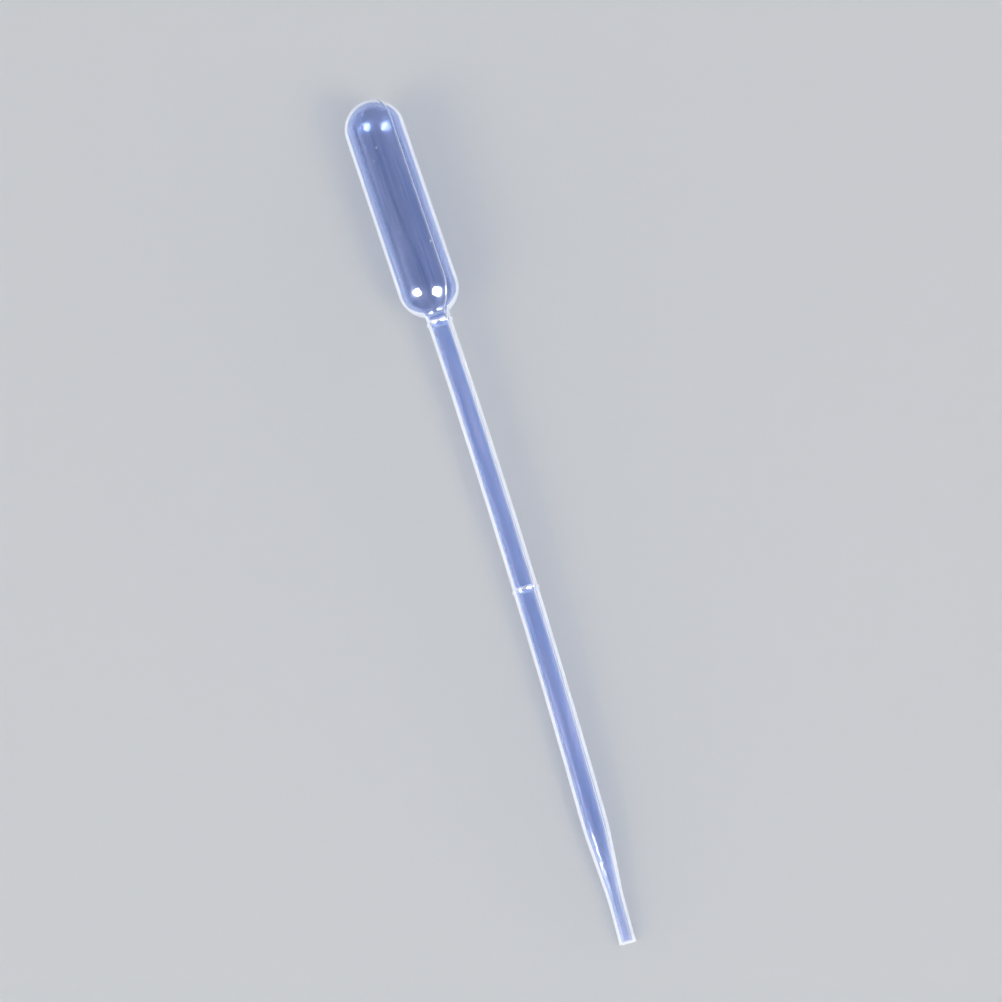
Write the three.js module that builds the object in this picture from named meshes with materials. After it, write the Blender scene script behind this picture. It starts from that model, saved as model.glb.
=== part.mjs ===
// A disposable transfer pipette (plastic dropper), blow-moulded from natural low-density
// polyethylene in one piece: squeeze bulb, graduated stem and drawn-down dropping tip.
// The wall is hollow all the way through and open only at the tip. The pipette lies as it
// comes to rest on a table, with its bulb towards -X and its tip towards +X, Z up.
// Units are millimetres.

import * as THREE from "three";

// Overall form.
const OVERALL_LENGTH = 120;
const BULB_LENGTH = 32.4; // over both round ends
const BULB_DIAMETER = 8.4;
const BULB_WALL = 0.35;
const STEM_DIAMETER = 3.4; // at the neck
const STEM_DRAFT = 0.09; // how much wider the stem is at the taper than at the neck
const STEM_WALL = 0.265; // at the neck, where it is thinnest
const TAPER_LENGTH = 9;
const TIP_LENGTH = 6.1;
const TIP_DIAMETER = 2.2;
const TIP_WALL = 0.5; // thicker than the stem's, because the hot tube gathers as it is drawn down
const TIP_FLARE = 0.05; // the cut end stands this far proud of the tip all round
const TIP_FLARE_LENGTH = 0.6;
const NECK_FILLET = 0.5;

// Graduation rings, raised on the stem. The top ring marks 0.5 ml and the other one 0.25 ml.
const MARK_COUNT = 2;
const MARK_HEIGHT = 0.15;
const MARK_WIDTH = 0.8;
const TOP_MARK_DROP = 1.08; // from the neck's fillet to the middle of the top ring

// Mould parting line: a fine ridge down two opposite sides, which meets over the bulb's end.
const RIDGE_HEIGHT = 0.06;
const RIDGE_WIDTH = 0.24;
const RIDGE_SHARE = 0.4; // a ridge's foot stays within this share of its flat
const RIDGE_TURN = 0.19 * Math.PI; // from the top of the pipette to the nearer ridge

// The soft stem has taken a slight set to one side.
const STEM_SAG = 0.66; // how far its middle stands off the line between its ends

// Fineness of the mesh.
const FACETS = 32; // round the wall, not counting the ridges
const DOME_STEPS = 8;
const FILLET_STEPS = 4;
const MARK_STEPS = 6;
const STEM_STEP = 12; // longest plain stretch of stem between two rows of points

const bulbRadius = BULB_DIAMETER / 2;
const shoulderCentre = BULB_LENGTH - bulbRadius;
const tipStart = OVERALL_LENGTH - TIP_LENGTH;
const taperStart = tipStart - TAPER_LENGTH;
const stemBore = STEM_DIAMETER / 2 - STEM_WALL;
const tipBore = TIP_DIAMETER / 2 - TIP_WALL;

// The wall is drawn as its half section: x is the distance from the axis, y is the distance
// from the bulb's end. Each stretch is a list of THREE.Vector2 that runs towards the tip.

function arc(centre, radius, from, to, steps) {
  return new THREE.EllipseCurve(centre.x, centre.y, radius, radius, from, to, to < from).getPoints(steps);
}

// The bulb's round end, and the shoulder that runs into the stem through a fillet.
function bulbStretch(radius, stemRadius, fillet) {
  const filletCentre = new THREE.Vector2(
    stemRadius + fillet,
    shoulderCentre + Math.sqrt((radius + fillet) ** 2 - (stemRadius + fillet) ** 2),
  );
  const meeting = Math.atan2(filletCentre.y - shoulderCentre, filletCentre.x);
  const end = arc(new THREE.Vector2(0, bulbRadius), radius, -Math.PI / 2, 0, DOME_STEPS);
  const shoulder = arc(new THREE.Vector2(0, shoulderCentre), radius, 0, meeting, DOME_STEPS);
  const neck = arc(filletCentre, fillet, meeting - Math.PI, -Math.PI, FILLET_STEPS);
  return [...end, ...shoulder, ...neck.slice(1)];
}

// Where the graduation rings stand. The top one is just below the neck, and the rings share out
// the liquid that it marks equally: in the tip's bore, the taper's and then the stem's.
function markPlaces(neckEnd) {
  const tipVolume = Math.PI * tipBore ** 2 * TIP_LENGTH;
  const taperVolume = (Math.PI / 3) * TAPER_LENGTH * (tipBore ** 2 + tipBore * stemBore + stemBore ** 2);
  const stemArea = Math.PI * stemBore ** 2;
  const top = neckEnd + TOP_MARK_DROP;
  const fullVolume = tipVolume + taperVolume + stemArea * (taperStart - top);
  const spacing = fullVolume / MARK_COUNT / stemArea;
  return Array.from({ length: MARK_COUNT }, (_, i) => top + i * spacing);
}

// Plain stem from one place to another, in steps short enough to follow its bow.
function plainStretch(from, to, radiusAt) {
  const count = Math.ceil((to - from) / STEM_STEP);
  const points = [];
  for (let i = 1; i <= count; i += 1) {
    const place = THREE.MathUtils.lerp(from, to, i / count);
    points.push(new THREE.Vector2(radiusAt(place), place));
  }
  return points;
}

// A ring's bead rises and falls as a cosine does.
function markStretch(middle, radiusAt) {
  const points = [];
  for (let i = 1; i <= MARK_STEPS; i += 1) {
    const turn = (2 * i) / MARK_STEPS - 1;
    const place = middle + (turn * MARK_WIDTH) / 2;
    const rise = (MARK_HEIGHT * (1 + Math.cos(turn * Math.PI))) / 2;
    points.push(new THREE.Vector2(radiusAt(place) + rise, place));
  }
  return points;
}

// The outside, or a line that runs at a height above it.
function outerProfile(height) {
  const neckRadius = STEM_DIAMETER / 2 + height;
  const tipRadius = TIP_DIAMETER / 2 + height;
  const bulb = bulbStretch(bulbRadius + height, neckRadius, NECK_FILLET - height);
  const neckEnd = bulb.at(-1).y;
  const radiusAt = (place) =>
    neckRadius + ((STEM_DRAFT / 2) * (place - neckEnd)) / (taperStart - neckEnd);
  const stem = [];
  let reached = neckEnd;
  for (const middle of markPlaces(neckEnd)) {
    stem.push(...plainStretch(reached, middle - MARK_WIDTH / 2, radiusAt));
    stem.push(...markStretch(middle, radiusAt));
    reached = middle + MARK_WIDTH / 2;
  }
  stem.push(...plainStretch(reached, taperStart, radiusAt));
  const tip = [
    new THREE.Vector2(tipRadius, tipStart),
    new THREE.Vector2(tipRadius, OVERALL_LENGTH - TIP_FLARE_LENGTH),
    new THREE.Vector2(tipRadius + TIP_FLARE, OVERALL_LENGTH),
  ];
  return [...bulb, ...stem, ...tip];
}

// The inside follows the outside a wall's thickness away, with a parallel bore in the stem.
function innerProfile() {
  const bulb = bulbStretch(bulbRadius - BULB_WALL, stemBore, NECK_FILLET + STEM_WALL);
  const stem = plainStretch(bulb.at(-1).y, taperStart, () => stemBore);
  const tip = [new THREE.Vector2(tipBore, tipStart), new THREE.Vector2(tipBore, OVERALL_LENGTH)];
  return [...bulb, ...stem, ...tip];
}

// The columns of points round the wall at one distance from the axis, as angles from the
// pipette's underside: evenly spaced corners, with a flat between two of them lowest, and the
// foot, crest and foot of each ridge in the middle of a flat.
function columns(radius) {
  const flat = (2 * Math.PI) / FACETS;
  const ridgeFoot = Math.min(RIDGE_WIDTH / 2 / radius, RIDGE_SHARE * flat);
  const firstRidge = Math.round((Math.PI - RIDGE_TURN) / flat);
  const turned = [];
  for (let i = 0; i < FACETS; i += 1) {
    const middle = i * flat;
    const isRidge = i % (FACETS / 2) === firstRidge % (FACETS / 2);
    if (isRidge) {
      turned.push({ angle: middle - ridgeFoot, crest: false });
      turned.push({ angle: middle, crest: true });
      turned.push({ angle: middle + ridgeFoot, crest: false });
    }
    turned.push({ angle: middle + flat / 2, crest: false });
  }
  return turned;
}

// The half section turned round the axis, with its columns of points moved to their own
// angles and the ridges' crests raised off the outside. All columns meet at the bulb's end,
// where the ridges cross.
function mouldedWall() {
  const inside = innerProfile().reverse();
  const plain = [...outerProfile(0), ...inside];
  const raised = [...outerProfile(RIDGE_HEIGHT), ...inside];
  const columnCount = columns(bulbRadius).length;
  const wall = new THREE.LatheGeometry(plain, columnCount);
  const { position } = wall.attributes;
  for (let j = 0; j < plain.length; j += 1) {
    const turned = columns(plain[j].x);
    for (let i = 0; i <= columnCount; i += 1) {
      const { angle, crest } = turned[i % columnCount];
      const { x: radius, y: place } = crest || j === 0 ? raised[j] : plain[j];
      position.setXYZ(i * plain.length + j, radius * Math.sin(angle), place, radius * Math.cos(angle));
    }
  }
  return wall;
}

// Bends the stem into an arc that leaves the bulb straight.
function bow(wall) {
  const stemLength = OVERALL_LENGTH - BULB_LENGTH;
  const bowRadius = stemLength ** 2 / (8 * STEM_SAG);
  const { position } = wall.attributes;
  for (let i = 0; i < position.count; i += 1) {
    const beyond = Math.max(position.getY(i) - BULB_LENGTH, 0);
    const turn = beyond / bowRadius;
    const reach = bowRadius + position.getX(i);
    const straight = position.getY(i) - beyond;
    position.setX(i, reach * Math.cos(turn) - bowRadius);
    position.setY(i, straight + reach * Math.sin(turn));
  }
}

// Resting on the shoulder of its bulb, the pipette tips forward until its stem or tip touches.
function restPitch() {
  const pitches = outerProfile(0)
    .filter((point) => point.y > BULB_LENGTH)
    .map(({ x: radius, y: place }) => {
      const reach = place - shoulderCentre;
      return Math.asin(bulbRadius / Math.hypot(reach, radius)) - Math.atan2(radius, reach);
    });
  return Math.min(...pitches);
}

// Lays the pipette along X on the plane Z = 0, with the middle of its box over the origin.
function layDown(wall) {
  wall.rotateZ(-Math.PI / 2);
  wall.rotateX(Math.PI);
  wall.rotateY(restPitch());
  wall.computeBoundingBox();
  const { min, max } = wall.boundingBox;
  wall.translate(-(min.x + max.x) / 2, -(min.y + max.y) / 2, -min.z);
}

function pipetteGeometry() {
  const wall = mouldedWall();
  bow(wall);
  layDown(wall);
  wall.computeVertexNormals();
  return wall;
}

const naturalPolyethylene = new THREE.MeshStandardMaterial({
  name: "natural_ldpe",
  color: 0xb9c6ee,
  roughness: 0.3,
  metalness: 0,
  transparent: true,
  opacity: 0.45,
});

const pipette = new THREE.Mesh(pipetteGeometry(), naturalPolyethylene);
pipette.name = "pipette";

const part = new THREE.Group();
part.name = "transfer_pipette";
part.add(pipette);

export default part;
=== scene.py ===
"""A disposable transfer pipette, blow-moulded from natural polyethylene, lying on a pale table."""

import math

import bpy
import numpy as np
from mathutils import Matrix, Vector


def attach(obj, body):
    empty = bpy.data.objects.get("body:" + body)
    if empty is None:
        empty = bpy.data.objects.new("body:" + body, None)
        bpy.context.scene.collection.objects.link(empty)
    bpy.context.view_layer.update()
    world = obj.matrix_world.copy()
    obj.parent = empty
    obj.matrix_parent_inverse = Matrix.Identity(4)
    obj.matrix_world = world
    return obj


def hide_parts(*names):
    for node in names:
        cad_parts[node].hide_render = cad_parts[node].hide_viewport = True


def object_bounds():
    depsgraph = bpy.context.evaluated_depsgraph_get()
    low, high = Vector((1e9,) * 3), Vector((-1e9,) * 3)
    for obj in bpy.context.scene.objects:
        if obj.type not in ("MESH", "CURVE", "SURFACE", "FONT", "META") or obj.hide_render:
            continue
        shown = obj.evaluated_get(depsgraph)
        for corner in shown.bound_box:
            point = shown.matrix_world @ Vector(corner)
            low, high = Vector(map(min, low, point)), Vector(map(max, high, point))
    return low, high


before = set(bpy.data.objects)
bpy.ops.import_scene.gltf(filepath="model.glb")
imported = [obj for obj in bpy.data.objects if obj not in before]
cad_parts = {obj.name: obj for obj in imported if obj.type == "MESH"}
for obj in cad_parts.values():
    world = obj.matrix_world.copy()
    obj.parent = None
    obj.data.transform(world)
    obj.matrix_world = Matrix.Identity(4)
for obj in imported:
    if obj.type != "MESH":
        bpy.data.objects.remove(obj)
cad_low, cad_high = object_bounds()

MM = 0.001

# Sizes of the moulding, in millimetres, as in the CAD model.
OVERALL_LENGTH = 120.0
BULB_LENGTH = 32.4
BULB_RADIUS = 4.2
BULB_WALL = 0.35
STEM_RADIUS = 1.7  # at the neck
STEM_DRAFT = 0.045  # how much wider its radius is at the taper
STEM_WALL = 0.265
TAPER_LENGTH = 9.0
TIP_LENGTH = 6.1
TIP_RADIUS = 1.1
TIP_WALL = 0.5
TIP_FLARE = 0.05
TIP_FLARE_LENGTH = 0.6
NECK_FILLET = 0.5
MARK_HEIGHT = 0.15
MARK_WIDTH = 0.8
TOP_MARK_DROP = 1.08
RIDGE_HEIGHT = 0.06
RIDGE_WIDTH = 0.24
RIDGE_ANGLE = math.radians(180 - 33.75)  # of one parting line, from the underside
STEM_SAG = 0.66
CAD_FACETS = 32

SHOULDER_CENTRE = BULB_LENGTH - BULB_RADIUS
TIP_START = OVERALL_LENGTH - TIP_LENGTH
TAPER_START = TIP_START - TAPER_LENGTH
STEM_BORE = STEM_RADIUS - STEM_WALL
TIP_BORE = TIP_RADIUS - TIP_WALL
INSCRIBED = math.cos(math.pi / CAD_FACETS)  # round walls stay inside the CAD model's flats

# Forms that the CAD model leaves out, in millimetres.
TAPER_BEND = 1.2  # each bend of the taper is rounded over this much either way
TAPER_BEND_SAMPLES = 25
MARK_GROOVE = 0.4 * MARK_HEIGHT  # depth of the groove in the bore behind a ring
RIM_ROUND = 0.06
WELD_HEIGHT = 0.10
WELD_WIDTH = 0.36
WELD_FLAT = 0.18  # width of the weld's flat top
WELD_LENGTH = 4.4
WELD_RUN_OUT = 0.4
WELD_WAVES = ((0.03, 5.1, 0.0), (0.02, 11.7, 1.0))  # its edge's: size, radians a millimetre, phase
WELD_UNEVENNESS = 3.0  # share that its height gains for each millimetre the waves widen it

# Slow waves in the wall, in millimetres. They run from the true surface towards the axis.
WAVE_LOBES = (2, 3, 5, 8, 13)  # waves round the wall
WAVE_TWIST = 0.012  # radians that a wave turns in a millimetre, for each radian of its draw
WAVE_SWAY = 0.4  # radians that a wave swings to either side
WAVE_SWAY_LENGTH = 9.0  # millimetres along the wall for each radian of the swing
WAVE_PEAK = 2.2  # about what the waves add up to where they meet
OUTER_SEED = 3
OUTER_WAVES = 0.012
INNER_SEED = 11
INNER_BULB_WAVES = 0.06
INNER_STEM_WAVES = 0.03
CALM_RADIUS = 1.5  # the waves shrink from this radius to nothing on the axis
CALM_END = (OVERALL_LENGTH - 1.5, OVERALL_LENGTH - 0.5)  # they die out over this stretch

# How finely the visible surface is divided: numbers of rows and columns, and row steps in mm.
RIDGE_COLUMNS = 8
SIDE_COLUMNS = 56
RIDGE_SPREAD = math.pi / 12  # a ridge's columns reach this far to either side at most
DOME_ROWS = 36
FILLET_ROWS = 8
MARK_ROWS = 14
RIM_ROWS = 5
BULB_ROW = 0.7
STEM_ROW = 0.9
TIP_ROW = 0.35
TIP_ROWS_START = TAPER_START - 1.5  # just before the taper's first bend

# The plastic. A tint is what each surface of a clear wall lets through, between streaks and
# on them. A share is how much of the light the milk scatters, from 0 to 1.
BULB_TINTS = ((0.37, 0.47, 0.715), (0.51, 0.555, 0.795))
STEM_TINTS = ((0.45, 0.575, 0.88), (0.58, 0.64, 0.935))
SHADE_TINT = (0.84, 0.87, 0.93)  # what the wall lets through to its shadow
IOR = 1.51
ROUGHNESS = (0.08, 0.13)  # between streaks and on them
PEEL_DEPTH = 0.06 * MM
MILK = (0.95, 0.955, 0.975)
TRANSLUCENCE = 0.5  # share of the milk that lets light through to its other side
NECK_STRETCH = (BULB_LENGTH - 2, BULB_LENGTH + 1)  # where the bulb's look turns into the stem's
CUT_STRETCH = (OVERALL_LENGTH - 0.5, OVERALL_LENGTH - 0.1)  # where the milky cut end sets in
# Four values each: at the bulb, at the neck, at the stem's end and at the tip. A bore share is
# the share of the radius past which a line of sight misses the bore.
MILK_SHARES = (0.02, 0.04, 0.04, 0.12)
BORE_SHARES = (0.90, 0.74, 0.74, 0.64)
BORE_BLUR = 0.06  # the white edge sets in this much to either side, as a squared share
HAZE = (0.6, 1.6)  # the milk between streaks and on them, as a multiple of its share
# milk on the rings: partly their thicker wall, partly a painted highlight that whitens them in place of
# their glints
RING_MILK_AND_GLINT = 0.45
RIDGE_MILK = 0.35
WELD_MILK = 0.7
SPECK_MILK = 0.4
# The band inside the white edges: where it sets in, as a squared share of the radius.
BAND = (0.48, 0.65)
BAND_MILK = (0.255, 0.345)  # between streaks and on them
BAND_TINT = (0.58, 0.69, 1.0)
STEM_BAND = 0.3  # how much of the band is left on the stem

# Its patterns, in the moulding's own millimetres.
STREAK_DRAW = 0.045  # a streak's width, as a share of its length
STREAK_NOISE = {"Scale": 1.6, "Detail": 3.0, "Roughness": 0.6}
STREAK_TINT_RANGE = (0.38, 0.62)  # of the noise, from between streaks to on them
STREAK_HAZE_RANGE = (0.3, 0.7)
SPECK_SCALE = 0.6
SPECK_DRAW = (0.55, 1.0)  # cells that draw less than the first have no speck
SPECK_REACH = 0.13  # largest speck's radius, as a share of a cell
SPECK_BLUR = 0.04
PEEL_NOISE = {"Scale": 1.5, "Detail": 3.0}
PEEL_STRENGTH = 0.6

# The setting, in metres, watts and degrees. Directions are as seen from the pipette: azimuth 0
# is -Y and 90 is +X.
TABLE = (0.54, 0.55, 0.565)
TABLE_REACH = 3.0
BACKDROP = (0.585, 0.61, 0.63)  # the table's colour as the lamps light it
FADE = (0.2, 0.9)  # distances over which the table turns into the backdrop
SEEN_RAYS = ("Is Camera Ray", "Is Glossy Ray", "Is Transmission Ray")  # what sees the backdrop
ROOM_COLOUR = (0.94, 0.96, 1.0)
HORIZON_HEIGHT = (0.16, 0.36)  # sine of the elevation, from the bright horizon to the dim room
ROOM_STRENGTH = (4.2, 0.14)
BOX_DISTANCE = 4.0
BOX_SIZE = 1.8
BOX_POWER = 90.0
CORE_DISTANCE = 3.9
CORE_RADIANCE = 320.0  # watts a square metre, in each unit of solid angle
LAMPS = {"left": (21.0, 35.9, 1.75), "right": (122.0, 43.0, 2.0)}  # azimuth, elevation, core's size
VIEW_DIRECTION = (74.5, 74.2)
VIEW_DISTANCE = 0.357
VIEW_ROLL = -2.74
LENS = 97.0  # millimetres
SENSOR = 36.0  # millimetres
CLIP = (0.01, 20.0)


# ---- Half section: rows of (radius, place), place being the distance from the bulb's end ----

def arc(centre, radius, start, end, rows):
    angles = np.linspace(start, end, rows + 1)
    return np.column_stack([centre[0] + radius * np.cos(angles), centre[1] + radius * np.sin(angles)])


def straight(start, end, step):
    rows = max(1, math.ceil(math.dist(start, end) / step))
    return np.linspace(start, end, rows + 1)


def places_between(start, end, step):
    """Evenly spaced places, without the first, which the stretch before holds."""
    return straight((0, start), (0, end), step)[1:, 1]


def bulb_stretch(radius, stem_radius, fillet):
    """The round end, the parallel side, the shoulder and the fillet into the stem."""
    rise = math.sqrt((radius + fillet) ** 2 - (stem_radius + fillet) ** 2)
    centre = (stem_radius + fillet, SHOULDER_CENTRE + rise)
    meeting = math.atan2(rise, centre[0])
    end = arc((0.0, BULB_RADIUS), radius, -math.pi / 2, 0.0, DOME_ROWS)
    side = straight((radius, BULB_RADIUS), (radius, SHOULDER_CENTRE), BULB_ROW)
    shoulder = arc((0.0, SHOULDER_CENTRE), radius, 0.0, meeting, DOME_ROWS)
    neck = arc(centre, fillet, meeting - math.pi, -math.pi, FILLET_ROWS)
    return np.vstack([end, side[1:], shoulder[1:], neck[1:]])


def outer_bulb():
    return bulb_stretch(BULB_RADIUS, STEM_RADIUS, NECK_FILLET)


def inner_bulb():
    return bulb_stretch(BULB_RADIUS - BULB_WALL, STEM_BORE, NECK_FILLET + STEM_WALL)


def mark_places(neck_end):
    """The top ring stands just below the neck, and the ring below it marks half its volume."""
    tip_volume = math.pi * TIP_BORE ** 2 * TIP_LENGTH
    cone = TIP_BORE ** 2 + TIP_BORE * STEM_BORE + STEM_BORE ** 2
    taper_volume = math.pi / 3 * TAPER_LENGTH * cone
    stem_area = math.pi * STEM_BORE ** 2
    top = neck_end + TOP_MARK_DROP
    full = tip_volume + taper_volume + stem_area * (TAPER_START - top)
    return [top, top + full / 2 / stem_area]


def stem_places(neck_end):
    """Places along the stem, close together over the rings and the taper's bends."""
    reached = neck_end
    places = []
    for middle in mark_places(neck_end):
        mark_start = middle - MARK_WIDTH / 2
        mark_end = middle + MARK_WIDTH / 2
        places.append(places_between(reached, mark_start, STEM_ROW))
        places.append(np.linspace(mark_start, mark_end, MARK_ROWS + 1)[1:])
        reached = mark_end
    places.append(places_between(reached, TIP_ROWS_START, STEM_ROW))
    places.append(places_between(TIP_ROWS_START, OVERALL_LENGTH - RIM_ROUND, TIP_ROW))
    return np.concatenate(places)


def eased(value, low, high):
    """0 below low and 1 above high, with a smooth run between."""
    share = np.clip((value - low) / (high - low), 0.0, 1.0)
    return share * share * (3 - 2 * share)


def bead(places, middle):
    """A ring's rise, from 0 at its edges to 1 at its middle."""
    turn = np.clip((places - middle) / (MARK_WIDTH / 2), -1.0, 1.0)
    return (1 + np.cos(turn * math.pi)) / 2


def bent(places, stem, tip):
    """Radius along stem, taper and tip, with sharp bends."""
    share = np.clip((places - TAPER_START) / TAPER_LENGTH, 0.0, 1.0)
    return stem + (tip - stem) * share


def tapered(places, stem, tip):
    """Radius along stem, taper and tip, with the taper's two bends rounded off."""
    shifts = np.linspace(-TAPER_BEND, TAPER_BEND, TAPER_BEND_SAMPLES)
    return np.mean([bent(places + shift, stem, tip) for shift in shifts], axis=0)


def outer_profile():
    bulb = outer_bulb()
    neck_end = bulb[-1, 1]
    places = stem_places(neck_end)
    draft = STEM_DRAFT * np.clip((places - neck_end) / (TAPER_START - neck_end), 0.0, 1.0)
    radii = tapered(places, STEM_RADIUS + STEM_DRAFT, TIP_RADIUS) - (STEM_DRAFT - draft)
    for middle in mark_places(neck_end):
        radii = radii + MARK_HEIGHT * bead(places, middle)
    radii = radii + TIP_FLARE * eased(places, OVERALL_LENGTH - TIP_FLARE_LENGTH, OVERALL_LENGTH)
    stem = np.column_stack([radii, places])
    centre = (TIP_RADIUS + TIP_FLARE - RIM_ROUND, OVERALL_LENGTH - RIM_ROUND)
    rim = arc(centre, RIM_ROUND, 0.0, math.pi / 2, RIM_ROWS)
    return np.vstack([bulb, stem, rim[1:]])


def inner_profile():
    bulb = inner_bulb()
    places = stem_places(bulb[-1, 1])
    radii = tapered(places, STEM_BORE, TIP_BORE)
    for middle in mark_places(outer_bulb()[-1, 1]):
        radii = radii + MARK_GROOVE * bead(places, middle)
    stem = np.column_stack([radii, places])
    centre = (TIP_BORE + RIM_ROUND, OVERALL_LENGTH - RIM_ROUND)
    rim = arc(centre, RIM_ROUND, math.pi, math.pi / 2, RIM_ROWS)
    return np.vstack([bulb, stem, rim[1:]])


def normals_of(profile):
    """Unit normals of a half section that runs towards the tip, pointing away from the axis."""
    along = np.gradient(profile, axis=0)
    normal = np.column_stack([along[:, 1], -along[:, 0]])
    normal /= np.linalg.norm(normal, axis=1)[:, None]
    normal[0] = (0.0, -1.0)
    return normal


# ---- The parting line, the weld and the wall's small unevenness ----

def flow_lines(place, angle, seed, size):
    """Slow waves round the wall, from the uneven hot tube that was blown: about -size to 0."""
    rng = np.random.default_rng(seed)
    wave = np.zeros(np.broadcast(place, angle).shape)
    for lobes in WAVE_LOBES:
        phase, drift, beat = rng.uniform(0, 2 * math.pi, 3)
        twist = WAVE_TWIST * (drift - math.pi)
        sway = WAVE_SWAY * np.sin(place / WAVE_SWAY_LENGTH + beat)
        strength = 1 / math.sqrt(lobes)
        wave += strength * np.cos(lobes * angle + phase + twist * place + sway)
    return size * (wave / WAVE_PEAK - 1) / 2


def ridge_rise(radius, angle):
    """Height of the parting line, by distance from the mould's parting plane."""
    from_plane = np.abs(radius * np.sin(angle - RIDGE_ANGLE))
    turn = np.clip(from_plane / (RIDGE_WIDTH / 2), 0.0, 1.0)
    return RIDGE_HEIGHT * (1 + np.cos(turn * math.pi)) / 2


def weld_rise(radius, place, angle):
    """Height of the pinched-off weld that closes the bulb's end, along the parting plane."""
    from_plane = np.abs(radius * np.sin(angle - RIDGE_ANGLE))
    along_plane = radius * np.cos(angle - RIDGE_ANGLE)
    ragged = sum(size * np.sin(rate * along_plane + phase) for size, rate, phase in WELD_WAVES)
    across = 1 - eased(from_plane, WELD_FLAT / 2, WELD_WIDTH / 2 + ragged)
    along = 1 - eased(np.abs(along_plane), WELD_LENGTH / 2 - WELD_RUN_OUT, WELD_LENGTH / 2)
    on_end = place < BULB_RADIUS
    return on_end * WELD_HEIGHT * across * along * (1 + WELD_UNEVENNESS * ragged)


def column_angles(radius):
    """Angles from the underside, bunched over the two parting lines at this radius."""
    half_ridge = RIDGE_SPREAD
    if radius > 0:
        half_ridge = min(RIDGE_WIDTH / 2 / radius, RIDGE_SPREAD)
    over_ridge = np.linspace(-half_ridge, half_ridge, RIDGE_COLUMNS, endpoint=False)
    side = np.linspace(half_ridge, math.pi - half_ridge, SIDE_COLUMNS, endpoint=False)
    half_turn = np.concatenate([over_ridge, side])
    return RIDGE_ANGLE + np.concatenate([half_turn, half_turn + math.pi])


def fading(radius, place):
    """Unevenness dies out at the bulb's pole and at the cut tip."""
    return min(1.0, radius / CALM_RADIUS) * (1 - eased(place, *CALM_END))


def outer_rise(radius, place, angle):
    moulded = np.maximum(ridge_rise(radius, angle), weld_rise(radius, place, angle))
    return moulded + fading(radius, place) * flow_lines(place, angle, OUTER_SEED, OUTER_WAVES)


def inner_rise(radius, place, angle):
    size = INNER_BULB_WAVES if place < BULB_LENGTH else INNER_STEM_WAVES
    return fading(radius, place) * flow_lines(place, angle, INNER_SEED, size)


def skin(profile, rise):
    """Rows of points round the axis, as (across, along, down), before the stem is bowed."""
    rows = []
    for (radius, place), (out, along) in zip(profile, normals_of(profile)):
        angle = column_angles(radius)
        lift = rise(radius, place, angle)
        reach = radius * INSCRIBED + out * lift
        moved = place + along * lift
        rows.append(np.column_stack([reach * np.sin(angle), moved, reach * np.cos(angle)]))
    return np.array(rows)


# ---- From the straight moulding to the pipette as it lies ----

def bowed(points):
    """Bends the stem into an arc that leaves the bulb straight."""
    bow_radius = (OVERALL_LENGTH - BULB_LENGTH) ** 2 / (8 * STEM_SAG)
    beyond = np.maximum(points[..., 1] - BULB_LENGTH, 0.0)
    turn = beyond / bow_radius
    reach = bow_radius + points[..., 0]
    curved = points.copy()
    curved[..., 0] = reach * np.cos(turn) - bow_radius
    curved[..., 1] = points[..., 1] - beyond + reach * np.sin(turn)
    return curved


def rest_pitch(profile):
    """The pipette tips forward on its shoulder until its stem or tip touches the table."""
    beyond = profile[profile[:, 1] > BULB_LENGTH]
    reach = beyond[:, 1] - SHOULDER_CENTRE
    distance = np.hypot(reach, beyond[:, 0])
    return np.min(np.arcsin(BULB_RADIUS / distance) - np.arctan2(beyond[:, 0], reach))


def laid_down(points, pitch):
    """Across, along, down -> the frame's axes, in millimetres, tipped forward by pitch."""
    flat = np.stack([points[..., 1], points[..., 0], -points[..., 2]], axis=-1)
    tipped = flat.copy()
    tipped[..., 0] = math.cos(pitch) * flat[..., 0] + math.sin(pitch) * flat[..., 2]
    tipped[..., 2] = -math.sin(pitch) * flat[..., 0] + math.cos(pitch) * flat[..., 2]
    return tipped


def within_cad_box(points):
    """Centres the points on the CAD model's box, on its floor, and shrinks them if they are larger."""
    low = points.reshape(-1, 3).min(0)
    high = points.reshape(-1, 3).max(0)
    cad_size = np.array(cad_high - cad_low) / MM
    share = min(1.0, np.min(cad_size / (high - low)))
    placed = (points - (low + high) / 2) * share
    placed[..., :2] += np.array(cad_low + cad_high)[:2] / 2 / MM
    placed[..., 2] += cad_low.z / MM - placed[..., 2].min()
    return placed


# ---- The mesh, and what its material is told of each point ----

def row_values(profile):
    """What the plastic needs to know of each row, by name."""
    place = profile[:, 1]
    rings = sum(bead(place, middle) for middle in mark_places(outer_bulb()[-1, 1]))
    stops = (*NECK_STRETCH, TAPER_START, TIP_START)
    return {
        "bore": np.interp(place, stops, [share ** 2 for share in BORE_SHARES]),
        "cloudiness": np.interp(place, stops, MILK_SHARES),
        "stem": eased(place, *NECK_STRETCH),
        # the rings get milk for their thicker wall and a painted highlight that whitens them; the cut
        # end gets milk
        "thick_and_ring_glint": np.maximum(RING_MILK_AND_GLINT * rings, eased(place, *CUT_STRETCH)),
    }


def point_values(profile):
    """The same for each point, with parting line and weld added to the thicker wall's milk and the
    rings' painted highlight.
    """
    angles = np.array([column_angles(radius) for radius in profile[:, 0]])
    radii = profile[:, :1]
    places = profile[:, 1:]
    values = {}
    for key, row in row_values(profile).items():
        values[key] = np.repeat(row[:, None], angles.shape[1], axis=1)
    raised = ridge_rise(radii, angles) / RIDGE_HEIGHT * RIDGE_MILK
    welded = weld_rise(radii, places, angles) / WELD_HEIGHT * WELD_MILK
    values["thick_and_ring_glint"] = np.clip(np.maximum.reduce([values["thick_and_ring_glint"], raised, welded]), 0.0, 1.0)
    return values


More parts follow.
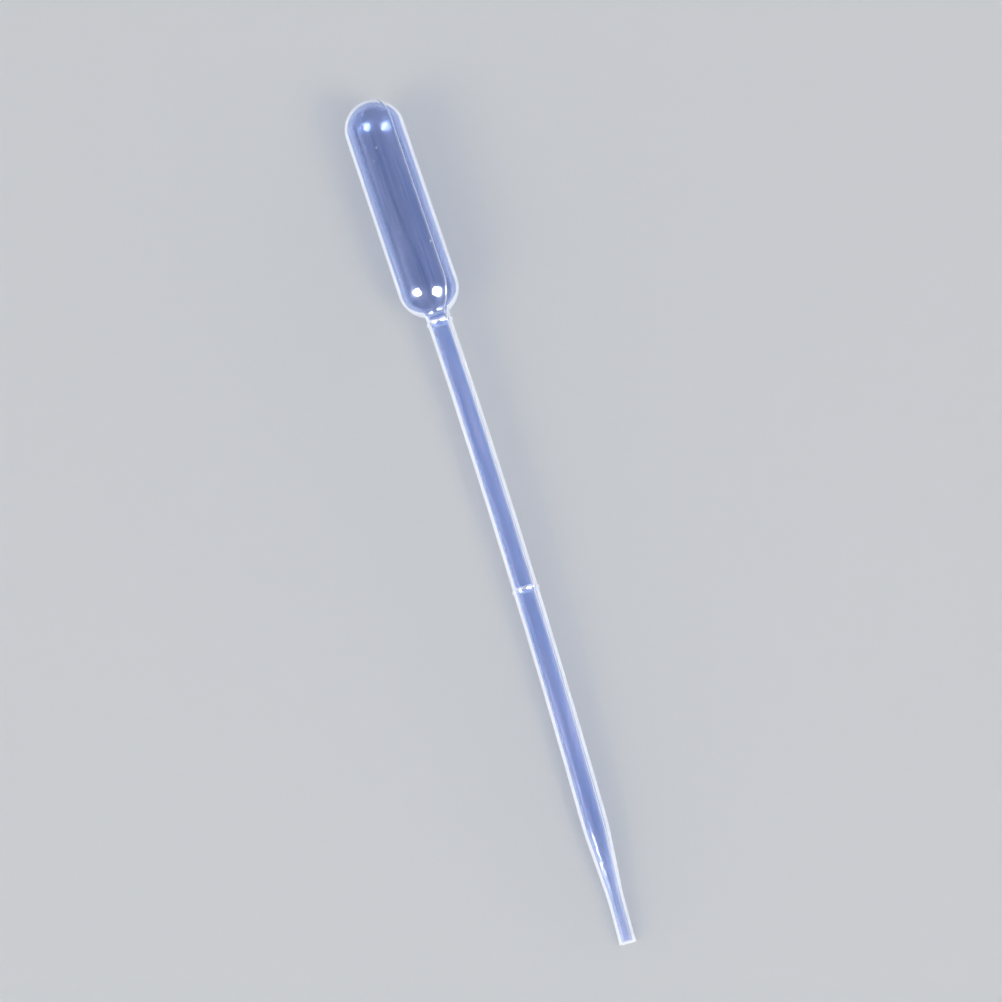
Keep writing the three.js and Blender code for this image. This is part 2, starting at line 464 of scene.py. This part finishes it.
def merged_ends(rows):
    """Rows of points as one list: all rows but the first and last, then a mean point for each."""
    inside = rows[1:-1].reshape(-1, rows.shape[2])
    return np.concatenate([inside, [rows[0].mean(0), rows[-1].mean(0)]])


def closed_mesh(name, rows):
    """A mesh from rows of points, the first and last of which close to a single point."""
    count, columns = rows.shape[:2]
    first_pole = (count - 2) * columns
    last_pole = first_pole + 1
    last_row = (count - 3) * columns
    faces = []
    for column in range(columns):
        beside = (column + 1) % columns
        for row in range(0, last_row, columns):
            below = row + columns
            faces.append((row + column, row + beside, below + beside, below + column))
        faces.append((first_pole, beside, column))
        faces.append((last_pole, last_row + column, last_row + beside))
    mesh = bpy.data.meshes.new(name)
    mesh.from_pydata(merged_ends(rows).tolist(), [], faces)
    mesh.polygons.foreach_set("use_smooth", [True] * len(mesh.polygons))
    mesh.update()
    return mesh


def add_number(mesh, name, rows):
    """Writes one number a point, from rows laid out as the mesh's are."""
    values = merged_ends(rows[..., None])
    attribute = mesh.attributes.new(name, "FLOAT", "POINT")
    attribute.data.foreach_set("value", values.astype(np.float32).ravel())


def add_vector(mesh, name, rows):
    """Writes one vector a point, from rows laid out as the mesh's are."""
    values = merged_ends(rows)
    attribute = mesh.attributes.new(name, "FLOAT_VECTOR", "POINT")
    attribute.data.foreach_set("vector", values.astype(np.float32).ravel())


def wall_mesh(name):
    """One closed skin: outside from the bulb's end to the tip, round the rim and back up inside."""
    outer = outer_profile()
    inner = inner_profile()
    # the rim's two halves meet in one row, which is kept once
    profile = np.vstack([outer, inner[::-1][1:]])
    moulded = np.concatenate([skin(outer, outer_rise), skin(inner, inner_rise)[::-1][1:]])
    lying = laid_down(bowed(moulded), rest_pitch(outer))
    mesh = closed_mesh(name, within_cad_box(lying) * MM)
    # the patterns follow the straight moulding, with the wall's length as their first axis
    add_vector(mesh, "moulded", moulded[..., [1, 0, 2]])
    for key, rows in point_values(profile).items():
        add_number(mesh, key, rows)
    return mesh


# ---- Material ----

class Nodes:
    """A short way to add and link shader nodes, in a material or a world."""

    def __init__(self, owner):
        self.tree = owner.node_tree
        self.tree.nodes.clear()

    def add(self, kind, **settings):
        node = self.tree.nodes.new(kind)
        for key, value in settings.items():
            if hasattr(node, key):
                setattr(node, key, value)
            else:
                node.inputs[key.replace("_", " ")].default_value = value
        return node

    def link(self, source, target):
        self.tree.links.new(source, target)

    def feed(self, value, socket):
        """Links an output to a socket, or writes a plain number or colour on it."""
        if isinstance(value, (int, float, tuple)):
            socket.default_value = value
        else:
            self.link(value, socket)

    def maths(self, operation, first, second):
        node = self.add("ShaderNodeMath", operation=operation)
        self.feed(first, node.inputs[0])
        self.feed(second, node.inputs[1])
        return node.outputs[0]

    def ranged(self, value, source, target):
        """Eases from target[0] to target[1] as value goes from source[0] to source[1]."""
        node = self.add("ShaderNodeMapRange", interpolation_type="SMOOTHSTEP")
        self.feed(value, node.inputs["Value"])
        node.inputs["From Min"].default_value, node.inputs["From Max"].default_value = source
        node.inputs["To Min"].default_value, node.inputs["To Max"].default_value = target
        return node.outputs[0]

    def attribute(self, name, output="Fac"):
        return self.add("ShaderNodeAttribute", attribute_name=name).outputs[output]

    def blended(self, share, first, second):
        """A colour between two, each an output or written out as four numbers."""
        node = self.add("ShaderNodeMix", data_type="RGBA")
        self.link(share, node.inputs["Factor"])
        self.feed(first, node.inputs["A"])
        self.feed(second, node.inputs["B"])
        return node.outputs["Result"]

    def mixed(self, share, first, second):
        node = self.add("ShaderNodeMixShader")
        self.feed(share, node.inputs[0])
        self.link(first.outputs[0], node.inputs[1])
        self.link(second.outputs[0], node.inputs[2])
        return node

    def swapped(self, rays, plain, other):
        """The other shader for these kinds of rays, and the plain one for all the rest."""
        path = self.add("ShaderNodeLightPath")
        for ray in rays:
            plain = self.mixed(path.outputs[ray], plain, other)
        return plain

    def output(self, kind, surface):
        self.link(surface.outputs[0], self.add(kind).inputs["Surface"])


def opaque(colour):
    return (*colour, 1)


def streaks(nodes, place):
    """Faint cloudy lines along the wall, from the drawn-out melt: about 0 to 1."""
    drawn_out = nodes.add("ShaderNodeVectorMath", operation="MULTIPLY")
    drawn_out.inputs[1].default_value = (STREAK_DRAW, 1.0, 1.0)
    nodes.link(place, drawn_out.inputs[0])
    cloud = nodes.add("ShaderNodeTexNoise", **STREAK_NOISE)
    nodes.link(drawn_out.outputs[0], cloud.inputs["Vector"])
    return cloud.outputs["Fac"]


def hazy(nodes, place, between_and_on):
    """A value that goes from its first number between streaks to its second on them."""
    return nodes.ranged(streaks(nodes, place), STREAK_HAZE_RANGE, between_and_on)


def tint(nodes, place):
    """What a wall lets through: greyer in the bulb, and paler and more violet along the streaks."""
    streaked = nodes.ranged(streaks(nodes, place), STREAK_TINT_RANGE, (0.0, 1.0))
    bulb = nodes.blended(streaked, opaque(BULB_TINTS[0]), opaque(BULB_TINTS[1]))
    stem = nodes.blended(streaked, opaque(STEM_TINTS[0]), opaque(STEM_TINTS[1]))
    return nodes.blended(nodes.attribute("stem"), bulb, stem)


def specks(nodes, place):
    """Small milk-white spots scattered over the wall: 1 on a speck and 0 elsewhere."""
    cells = nodes.add("ShaderNodeTexVoronoi", Scale=SPECK_SCALE)
    nodes.link(place, cells.inputs["Vector"])
    draw = nodes.add("ShaderNodeSeparateColor")
    nodes.link(cells.outputs["Color"], draw.inputs["Color"])
    reach = nodes.ranged(draw.outputs["Red"], SPECK_DRAW, (0.0, SPECK_REACH))
    inside = nodes.maths("SUBTRACT", reach, cells.outputs["Distance"])
    return nodes.ranged(inside, (0.0, SPECK_BLUR), (0.0, 1.0))


def peel(nodes, place):
    """Normal with the fine orange peel that the mould leaves."""
    fine = nodes.add("ShaderNodeTexNoise", **PEEL_NOISE)
    nodes.link(place, fine.inputs["Vector"])
    bump = nodes.add("ShaderNodeBump", Strength=PEEL_STRENGTH, Distance=PEEL_DEPTH)
    nodes.link(fine.outputs["Fac"], bump.inputs["Height"])
    return bump.outputs["Normal"]


def off_middle(nodes):
    """How far from the tube's middle the line of sight passes, as a squared share of its radius."""
    facing = nodes.add("ShaderNodeLayerWeight", Blend=0.5).outputs["Facing"]
    cosine = nodes.maths("SUBTRACT", 1.0, facing)
    return nodes.maths("SUBTRACT", 1.0, nodes.maths("POWER", cosine, 2.0))


def past_bore(nodes, off):
    """1 where the line of sight misses the bore and runs through solid wall, and 0 inside that."""
    beyond = nodes.maths("SUBTRACT", off, nodes.attribute("bore"))
    return nodes.ranged(beyond, (-BORE_BLUR, BORE_BLUR), (0.0, 1.0))


def inside_edges(nodes, off):
    """0 in the middle of the tube and 1 towards its edges, where more of the wall is looked through."""
    return nodes.ranged(off, BAND, (0.0, 1.0))


def milk_colour(nodes, place):
    """White, but tinted in the band inside the edges, where it is seen through more of the wall."""
    off = off_middle(nodes)
    # white also on the thicker wall and on the rings, whose white is partly a painted highlight
    white = nodes.maths("MAXIMUM", past_bore(nodes, off), nodes.attribute("thick_and_ring_glint"))
    white = nodes.maths("MAXIMUM", white, specks(nodes, place))
    tinted = nodes.maths("MULTIPLY", inside_edges(nodes, off), nodes.maths("SUBTRACT", 1.0, white))
    return nodes.blended(tinted, opaque(MILK), opaque(BAND_TINT))


def milkiness(nodes, place):
    """Share of the light that the surface scatters instead of letting it straight through."""
    cloudy = nodes.maths("MULTIPLY", hazy(nodes, place, HAZE), nodes.attribute("cloudiness"))
    off = off_middle(nodes)
    band = nodes.maths("MULTIPLY", inside_edges(nodes, off), hazy(nodes, place, BAND_MILK))
    left_on_stem = nodes.ranged(nodes.attribute("stem"), (0.0, 1.0), (1.0, STEM_BAND))
    band = nodes.maths("MULTIPLY", band, left_on_stem)
    share = nodes.maths("ADD", cloudy, nodes.maths("MAXIMUM", band, past_bore(nodes, off)))
    # the thicker wall's milk, which on the rings is partly a painted highlight
    share = nodes.maths("MAXIMUM", share, nodes.attribute("thick_and_ring_glint"))
    return nodes.maths("MAXIMUM", share, nodes.maths("MULTIPLY", specks(nodes, place), SPECK_MILK))


def glossy_plastic(nodes, place, colour, transmission):
    """Plastic with the mould's gloss and peel, clear with a transmission of 1 and solid with 0."""
    plastic = nodes.add("ShaderNodeBsdfPrincipled", IOR=IOR, Transmission_Weight=transmission)
    nodes.link(colour, plastic.inputs["Base Color"])
    nodes.link(hazy(nodes, place, ROUGHNESS), plastic.inputs["Roughness"])
    nodes.link(peel(nodes, place), plastic.inputs["Normal"])
    return plastic


def milky_plastic(nodes, place):
    """Plastic that scatters light, half of it back and half on to its other side."""
    colour = milk_colour(nodes, place)
    lit = glossy_plastic(nodes, place, colour, 0.0)
    glowing = nodes.add("ShaderNodeBsdfTranslucent")
    nodes.link(colour, glowing.inputs["Color"])
    return nodes.mixed(TRANSLUCENCE, lit, glowing)


def natural_ldpe():
    """Natural polyethylene: clear, faintly lavender and hazy, and milk white where seen edge-on."""
    material = bpy.data.materials.new("natural_ldpe")
    material.use_nodes = True
    nodes = Nodes(material)
    place = nodes.attribute("moulded", "Vector")
    clear = glossy_plastic(nodes, place, tint(nodes, place), 1.0)
    wall = nodes.mixed(milkiness(nodes, place), clear, milky_plastic(nodes, place))
    # shadow and diffuse rays pass as through a lightly tinted sheet
    shade = nodes.add("ShaderNodeBsdfTransparent", Color=opaque(SHADE_TINT))
    wall = nodes.swapped(("Is Shadow Ray", "Is Diffuse Ray"), wall, shade)
    nodes.output("ShaderNodeOutputMaterial", wall)
    return material


def add_object(name, data):
    added = bpy.data.objects.new(name, data)
    bpy.context.scene.collection.objects.link(added)
    return added


def pipette():
    mesh = wall_mesh("pipette_wall")
    mesh.materials.append(natural_ldpe())
    piece = add_object("pipette_wall", mesh)
    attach(piece, "root")
    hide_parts("pipette")


# ---- Table, lamps and camera ----

def table_top():
    """Pale and matt, and far away the backdrop's even colour."""
    material = bpy.data.materials.new("table")
    material.use_nodes = True
    nodes = Nodes(material)
    matt = nodes.add("ShaderNodeBsdfDiffuse", Color=opaque(TABLE))
    even = nodes.add("ShaderNodeEmission", Color=opaque(BACKDROP))
    place = nodes.add("ShaderNodeNewGeometry").outputs["Position"]
    distance = nodes.add("ShaderNodeVectorMath", operation="LENGTH")
    nodes.link(place, distance.inputs[0])
    faded = nodes.mixed(nodes.ranged(distance.outputs["Value"], FADE, (0.0, 1.0)), matt, even)
    nodes.output("ShaderNodeOutputMaterial", nodes.swapped(SEEN_RAYS, matt, faded))
    return material


def table():
    corners = [(x * TABLE_REACH, y * TABLE_REACH, 0) for x, y in ((-1, -1), (1, -1), (1, 1), (-1, 1))]
    mesh = bpy.data.meshes.new("table")
    mesh.from_pydata(corners, [], [(0, 1, 2, 3)])
    mesh.materials.append(table_top())
    top = add_object("table", mesh)


def aimed(azimuth, elevation, distance, roll=0.0):
    """World matrix of a camera or lamp that looks at the pipette from a direction."""
    bearing = math.radians(azimuth)
    rise = math.radians(elevation)
    across = math.cos(rise)
    direction = Vector((math.sin(bearing) * across, -math.cos(bearing) * across, math.sin(rise)))
    middle = (cad_low + cad_high) / 2
    location = middle + direction * distance
    turn = (middle - location).normalized().to_track_quat("-Z", "Y").to_matrix().to_4x4()
    return Matrix.Translation(location) @ turn @ Matrix.Rotation(math.radians(roll), 4, "Z")


def lamp(name, azimuth, elevation, distance, size, power):
    """A round soft light aimed at the pipette."""
    data = bpy.data.lights.new(name, "AREA")
    data.shape = "DISK"
    data.size = size
    data.energy = power
    light = add_object(name, data)
    light.visible_camera = False
    light.matrix_world = aimed(azimuth, elevation, distance)
    return light


def soft_boxes():
    """Two round soft boxes, each behind a bright core that only gloss and glass show."""
    for name, (azimuth, elevation, core_size) in LAMPS.items():
        lamp(name + "_box", azimuth, elevation, BOX_DISTANCE, BOX_SIZE, BOX_POWER)
        core_power = CORE_RADIANCE * math.pi ** 2 * (core_size / 2) ** 2
        core = lamp(name + "_core", azimuth, elevation, CORE_DISTANCE, core_size, core_power)
        core.visible_diffuse = False


def surround():
    """A dim room over a bright low horizon gives soft light, and the backdrop is what is seen."""
    sky = bpy.data.worlds.new("studio")
    sky.use_nodes = True
    nodes = Nodes(sky)
    height = nodes.add("ShaderNodeSeparateXYZ")
    nodes.link(nodes.add("ShaderNodeTexCoord").outputs["Generated"], height.inputs[0])
    room = nodes.add("ShaderNodeBackground", Color=opaque(ROOM_COLOUR))
    nodes.link(nodes.ranged(height.outputs["Z"], HORIZON_HEIGHT, ROOM_STRENGTH), room.inputs["Strength"])
    backdrop = nodes.add("ShaderNodeBackground", Color=opaque(BACKDROP))
    nodes.output("ShaderNodeOutputWorld", nodes.swapped(SEEN_RAYS, room, backdrop))
    bpy.context.scene.world = sky


def camera():
    data = bpy.data.cameras.new("camera")
    data.sensor_width = SENSOR
    data.lens = LENS
    data.clip_start, data.clip_end = CLIP
    view = add_object("camera", data)
    view.matrix_world = aimed(*VIEW_DIRECTION, VIEW_DISTANCE, VIEW_ROLL)
    bpy.context.scene.camera = view


pipette()
table()
soft_boxes()
surround()
camera()
bpy.context.scene.view_settings.view_transform = "Standard"
